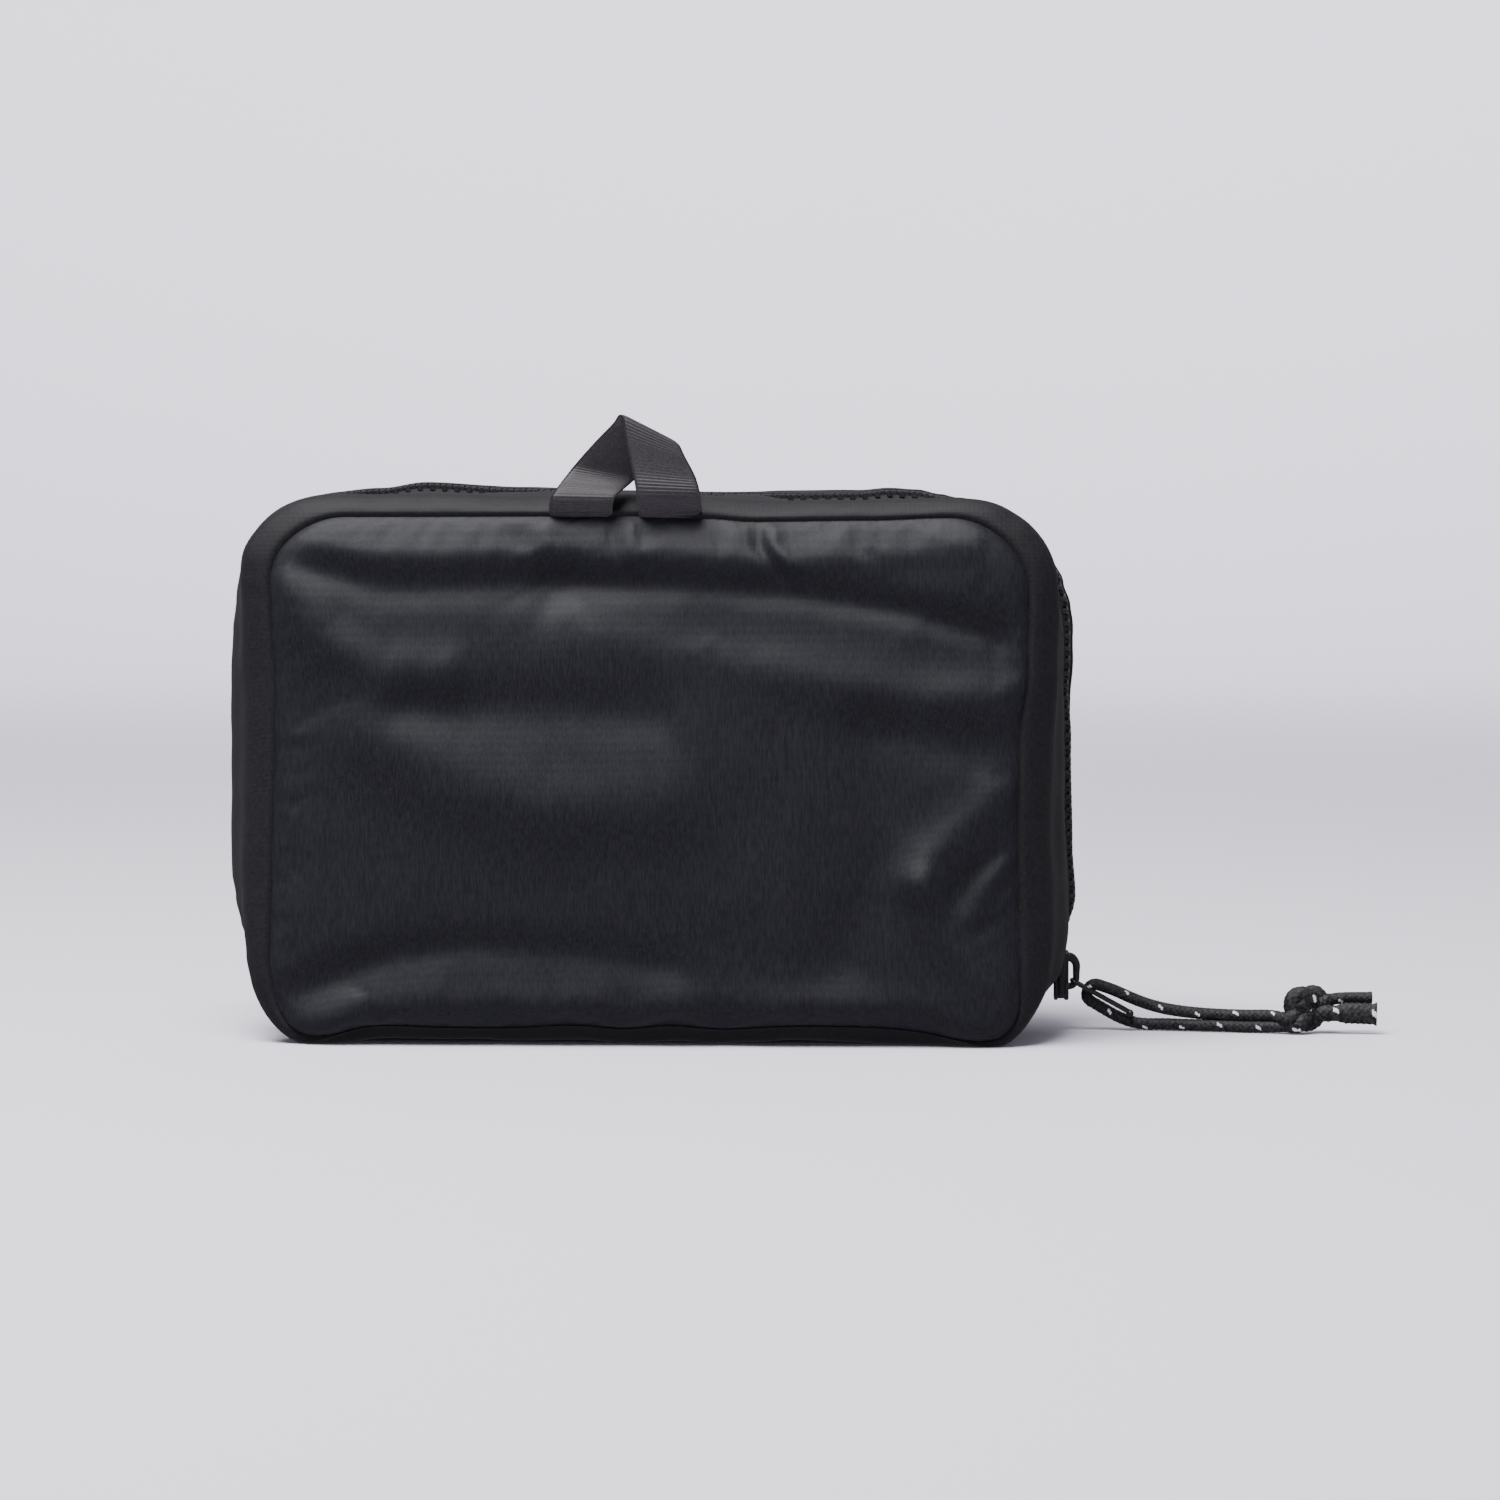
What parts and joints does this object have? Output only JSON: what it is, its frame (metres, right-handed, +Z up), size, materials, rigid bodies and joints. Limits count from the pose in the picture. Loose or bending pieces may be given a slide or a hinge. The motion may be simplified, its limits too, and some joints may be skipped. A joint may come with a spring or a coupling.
{
  "type": "hanging toiletry bag",
  "caption": "Soft hanging toiletry bag: deep half with a webbing hanging loop, zipped fold-down lid, inside pockets and a zip slider with a knotted cord pull.",
  "frame": {"origin": "centre of the flat base, where the bag stands on a surface", "axes": "+X to the bag's right along its width, +Y from the hanging-loop side to the lid side, +Z up"},
  "size_m": [0.3641, 0.083, 0.1986],
  "materials": {
    "panel_nylon": "smooth coated nylon with a soft sheen",
    "gusset_nylon": "matte woven nylon",
    "foam": "closed-cell foam sheet",
    "lining": "thin ripstop lining",
    "binding_tape": "grosgrain tape",
    "zip_tape": "woven zip tape",
    "zip_plastic": "moulded acetal",
    "mesh": "knitted mesh",
    "slider_metal": "satin black enamel",
    "pull_wire": "gloss black coating",
    "braided_cord": "black braid with pale reflective flecks",
    "webbing": "ribbed polyester webbing"
  },
  "bodies": {
    "front_half": {"loop_end_left": "webbing", "loop_end_right": "webbing", "main_binding": "binding_tape", "main_foam": "foam", "main_gusset": "gusset_nylon", "main_lining": "lining", "main_panel": "panel_nylon", "slip_elastic": "binding_tape", "slip_pocket": "lining", "tail_gusset": "gusset_nylon", "tail_panel": "panel_nylon", "zip_stop_left": "zip_plastic", "zip_stop_right": "zip_plastic", "zip_tape_main": "zip_tape", "zip_teeth_main": "zip_plastic"},
    "lid": {"lid_gusset": "gusset_nylon", "lid_panel": "panel_nylon", "lid_foam": "foam", "lid_lining": "lining", "lid_binding": "binding_tape", "zip_tape_lid": "zip_tape", "zip_teeth_lid": "zip_plastic", "mesh_pocket": "mesh", "mesh_elastic": "binding_tape"},
    "zip_slider": {"slider_body": "slider_metal", "slider_bridge": "slider_metal"},
    "zip_pull": {"pull_ring": "pull_wire", "cord_bight": "braided_cord", "cord_knot": "braided_cord", "cord_lower": "braided_cord", "cord_tail_lower": "braided_cord", "cord_tail_upper": "braided_cord", "cord_upper": "braided_cord"},
    "hang_loop": {"hanging_loop": "webbing"}
  },
  "joints": [
    {"name": "lid_hinge", "type": "hinge", "parent": "front_half", "child": "lid", "pos_m": [0, 0.0413, 0.03], "axis": [-1, 0, 0], "range_deg": [0, 98]},
    {"name": "zip_slide", "type": "slide", "parent": "front_half", "child": "zip_slider", "axis": [0, 0, 1], "range_m": [0, 0.085]},
    {"name": "pull_swing", "type": "hinge", "parent": "zip_slider", "child": "zip_pull", "pos_m": [0.1342, 0.014, 0.0162], "axis": [0, -1, 0], "range_deg": [0, 68]},
    {"name": "loop_fold", "type": "hinge", "parent": "front_half", "child": "hang_loop", "pos_m": [0, -0.0385, 0.1665], "axis": [1, 0, 0], "range_deg": [0, 110]}
  ]
}
